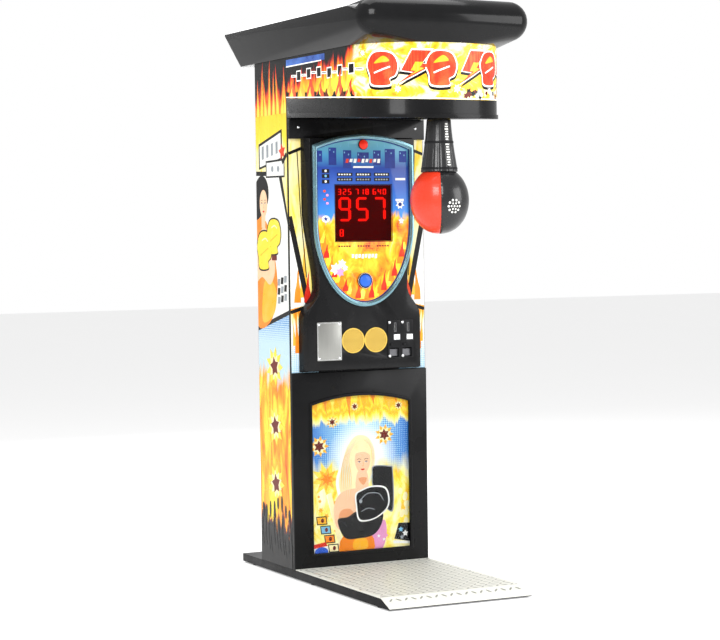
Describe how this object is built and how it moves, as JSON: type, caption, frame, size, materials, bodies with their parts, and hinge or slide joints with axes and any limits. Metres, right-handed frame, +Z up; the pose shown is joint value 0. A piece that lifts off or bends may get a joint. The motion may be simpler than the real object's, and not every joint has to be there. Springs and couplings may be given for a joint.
{
  "type": "boxing punch machine",
  "caption": "Upright coin-operated strength tester with a swinging punch ball, a lit score shield, a printed cabinet and a tread-plate platform.",
  "frame": {"origin": "middle of the base on the floor", "axes": "+Z up, -Y towards the player, +X to the player's right as they face the machine"},
  "size_m": [0.71, 1.35, 2.2296],
  "materials": {
    "black_steel": "black powder coat",
    "black_rubber": "matt rubber",
    "tread_aluminium": "bright five-bar tread",
    "bright_steel": "bright",
    "printed_board": "board with a printed gloss film",
    "black_board": "board with a black textured film",
    "poster_board": "printed board",
    "clear_acrylic": "clear acrylic",
    "lamp_white": "white lamp tube",
    "black_moulding": "black vacuum-formed plastic",
    "satin_ring": "metallised blue-grey plastic",
    "shield_print": "printed acrylic",
    "dark_red_acrylic": "dark red acrylic",
    "circuit_board": "green board",
    "lit_digits": "lit red numerals",
    "black_plastic": "satin moulded plastic",
    "red_lens": "ribbed red lens",
    "blue_button": "blue translucent cap",
    "pale_plastic": "pale moulded plastic",
    "brushed_plate": "brushed",
    "yellow_mesh": "perforated yellow mesh",
    "coin_plate_black": "satin black",
    "white_lens": "lit white window",
    "dark_steel": "dark plated steel",
    "zinc_steel": "zinc plated",
    "sign_acrylic": "backlit printed acrylic",
    "cast_housing": "painted casting",
    "red_vinyl": "glossy red vinyl",
    "black_vinyl": "glossy black vinyl",
    "copper_coil": "wound coil in a steel yoke"
  },
  "bodies": {
    "root": {"base_pan": "black_steel", "base_pads": "black_rubber", "tread_plate": "tread_aluminium", "tread_screws": "bright_steel", "left_side_panel": "printed_board", "right_side_panel": "printed_board", "rear_panel": "black_board", "top_panel": "black_board", "front_panel": "printed_board", "lower_front_frame": "black_board", "poster_print": "poster_board", "poster_cover": "clear_acrylic", "lamp_tubes": "lamp_white", "fascia": "black_moulding", "shield_ring": "satin_ring", "shield_panel": "shield_print", "display_window": "dark_red_acrylic", "display_board": "circuit_board", "display_digits": "lit_digits", "beacon_base": "black_plastic", "beacon_lens": "red_lens", "button_bezel": "black_plastic", "button_switch": "pale_plastic", "note_plate": "brushed_plate", "fascia_screws": "bright_steel", "speaker_grilles": "yellow_mesh", "speaker_drivers": "black_plastic", "left_coin_plate": "coin_plate_black", "right_coin_plate": "coin_plate_black", "price_windows": "white_lens", "coin_mechs": "pale_plastic", "coin_chute": "zinc_steel", "cash_box": "zinc_steel", "head_frame": "black_steel", "head_tray": "black_moulding", "marquee_sign": "sign_acrylic", "ball_well": "black_moulding", "rubber_buffers": "black_rubber", "roof_cover": "black_moulding", "shaft_bearings": "cast_housing", "speed_sensor": "black_plastic", "latch_bracket": "zinc_steel", "solenoid": "copper_coil", "door_hinges": "zinc_steel", "electrics": "zinc_steel"},
    "arm": {"pivot_shaft": "bright_steel", "arm_tube": "black_steel", "arm_sleeve": "black_rubber", "ball_red_half": "red_vinyl", "ball_black_half": "black_vinyl", "encoder_disc": "zinc_steel"},
    "latch": {"latch_hook": "dark_steel"},
    "plunger": {"plunger": "bright_steel"},
    "start_button": {"start_button": "blue_button"},
    "left_return_button": {"left_return_button": "black_plastic"},
    "right_return_button": {"right_return_button": "black_plastic"},
    "left_return_flap": {"left_return_flap": "dark_steel"},
    "right_return_flap": {"right_return_flap": "dark_steel"},
    "rear_door": {"rear_door": "black_board"},
    "rear_lock": {"rear_lock": "bright_steel"}
  },
  "joints": [
    {"name": "arm_swing", "type": "hinge", "parent": "root", "child": "arm", "pos_m": [0, -0.54, 1.915], "axis": [1, 0, 0], "range_deg": [0, 88]},
    {"name": "latch_turn", "type": "hinge", "parent": "root", "child": "latch", "pos_m": [0, -0.44352, 2.015], "axis": [1, 0, 0], "range_deg": [0, 25], "stiffness_Nm_per_rad": 0.1, "springref_deg": -34.38},
    {"name": "plunger_slide", "type": "slide", "parent": "root", "child": "plunger", "axis": [0, -1, 0], "range_m": [0, 0.0072]},
    {"name": "start_button_press", "type": "slide", "parent": "root", "child": "start_button", "axis": [0, 1, 0], "range_m": [0, 0.004], "stiffness_N_per_m": 400, "springref_m": -0.003},
    {"name": "left_return_press", "type": "slide", "parent": "root", "child": "left_return_button", "axis": [0, 1, 0], "range_m": [0, 0.005], "stiffness_N_per_m": 250, "springref_m": -0.003},
    {"name": "right_return_press", "type": "slide", "parent": "root", "child": "right_return_button", "axis": [0, 1, 0], "range_m": [0, 0.005], "stiffness_N_per_m": 250, "springref_m": -0.003},
    {"name": "left_flap_swing", "type": "hinge", "parent": "root", "child": "left_return_flap", "pos_m": [0.1305, 0.108, 0.9035], "axis": [1, 0, 0], "range_deg": [0, 45]},
    {"name": "right_flap_swing", "type": "hinge", "parent": "root", "child": "right_return_flap", "pos_m": [0.1885, 0.108, 0.9035], "axis": [1, 0, 0], "range_deg": [0, 45]},
    {"name": "rear_door_open", "type": "hinge", "parent": "root", "child": "rear_door", "pos_m": [-0.2025, 0.48101, 0.9], "axis": [0, 0, 1], "range_deg": [0, 110]},
    {"name": "rear_lock_turn", "type": "hinge", "parent": "rear_door", "child": "rear_lock", "pos_m": [0.17, 0.475, 0.9], "axis": [0, 1, 0], "range_deg": [0, 90]}
  ],
  "couplings": [
    {"joint": "plunger_slide", "follows": "latch_turn", "m_per_rad": 0.016}
  ]
}
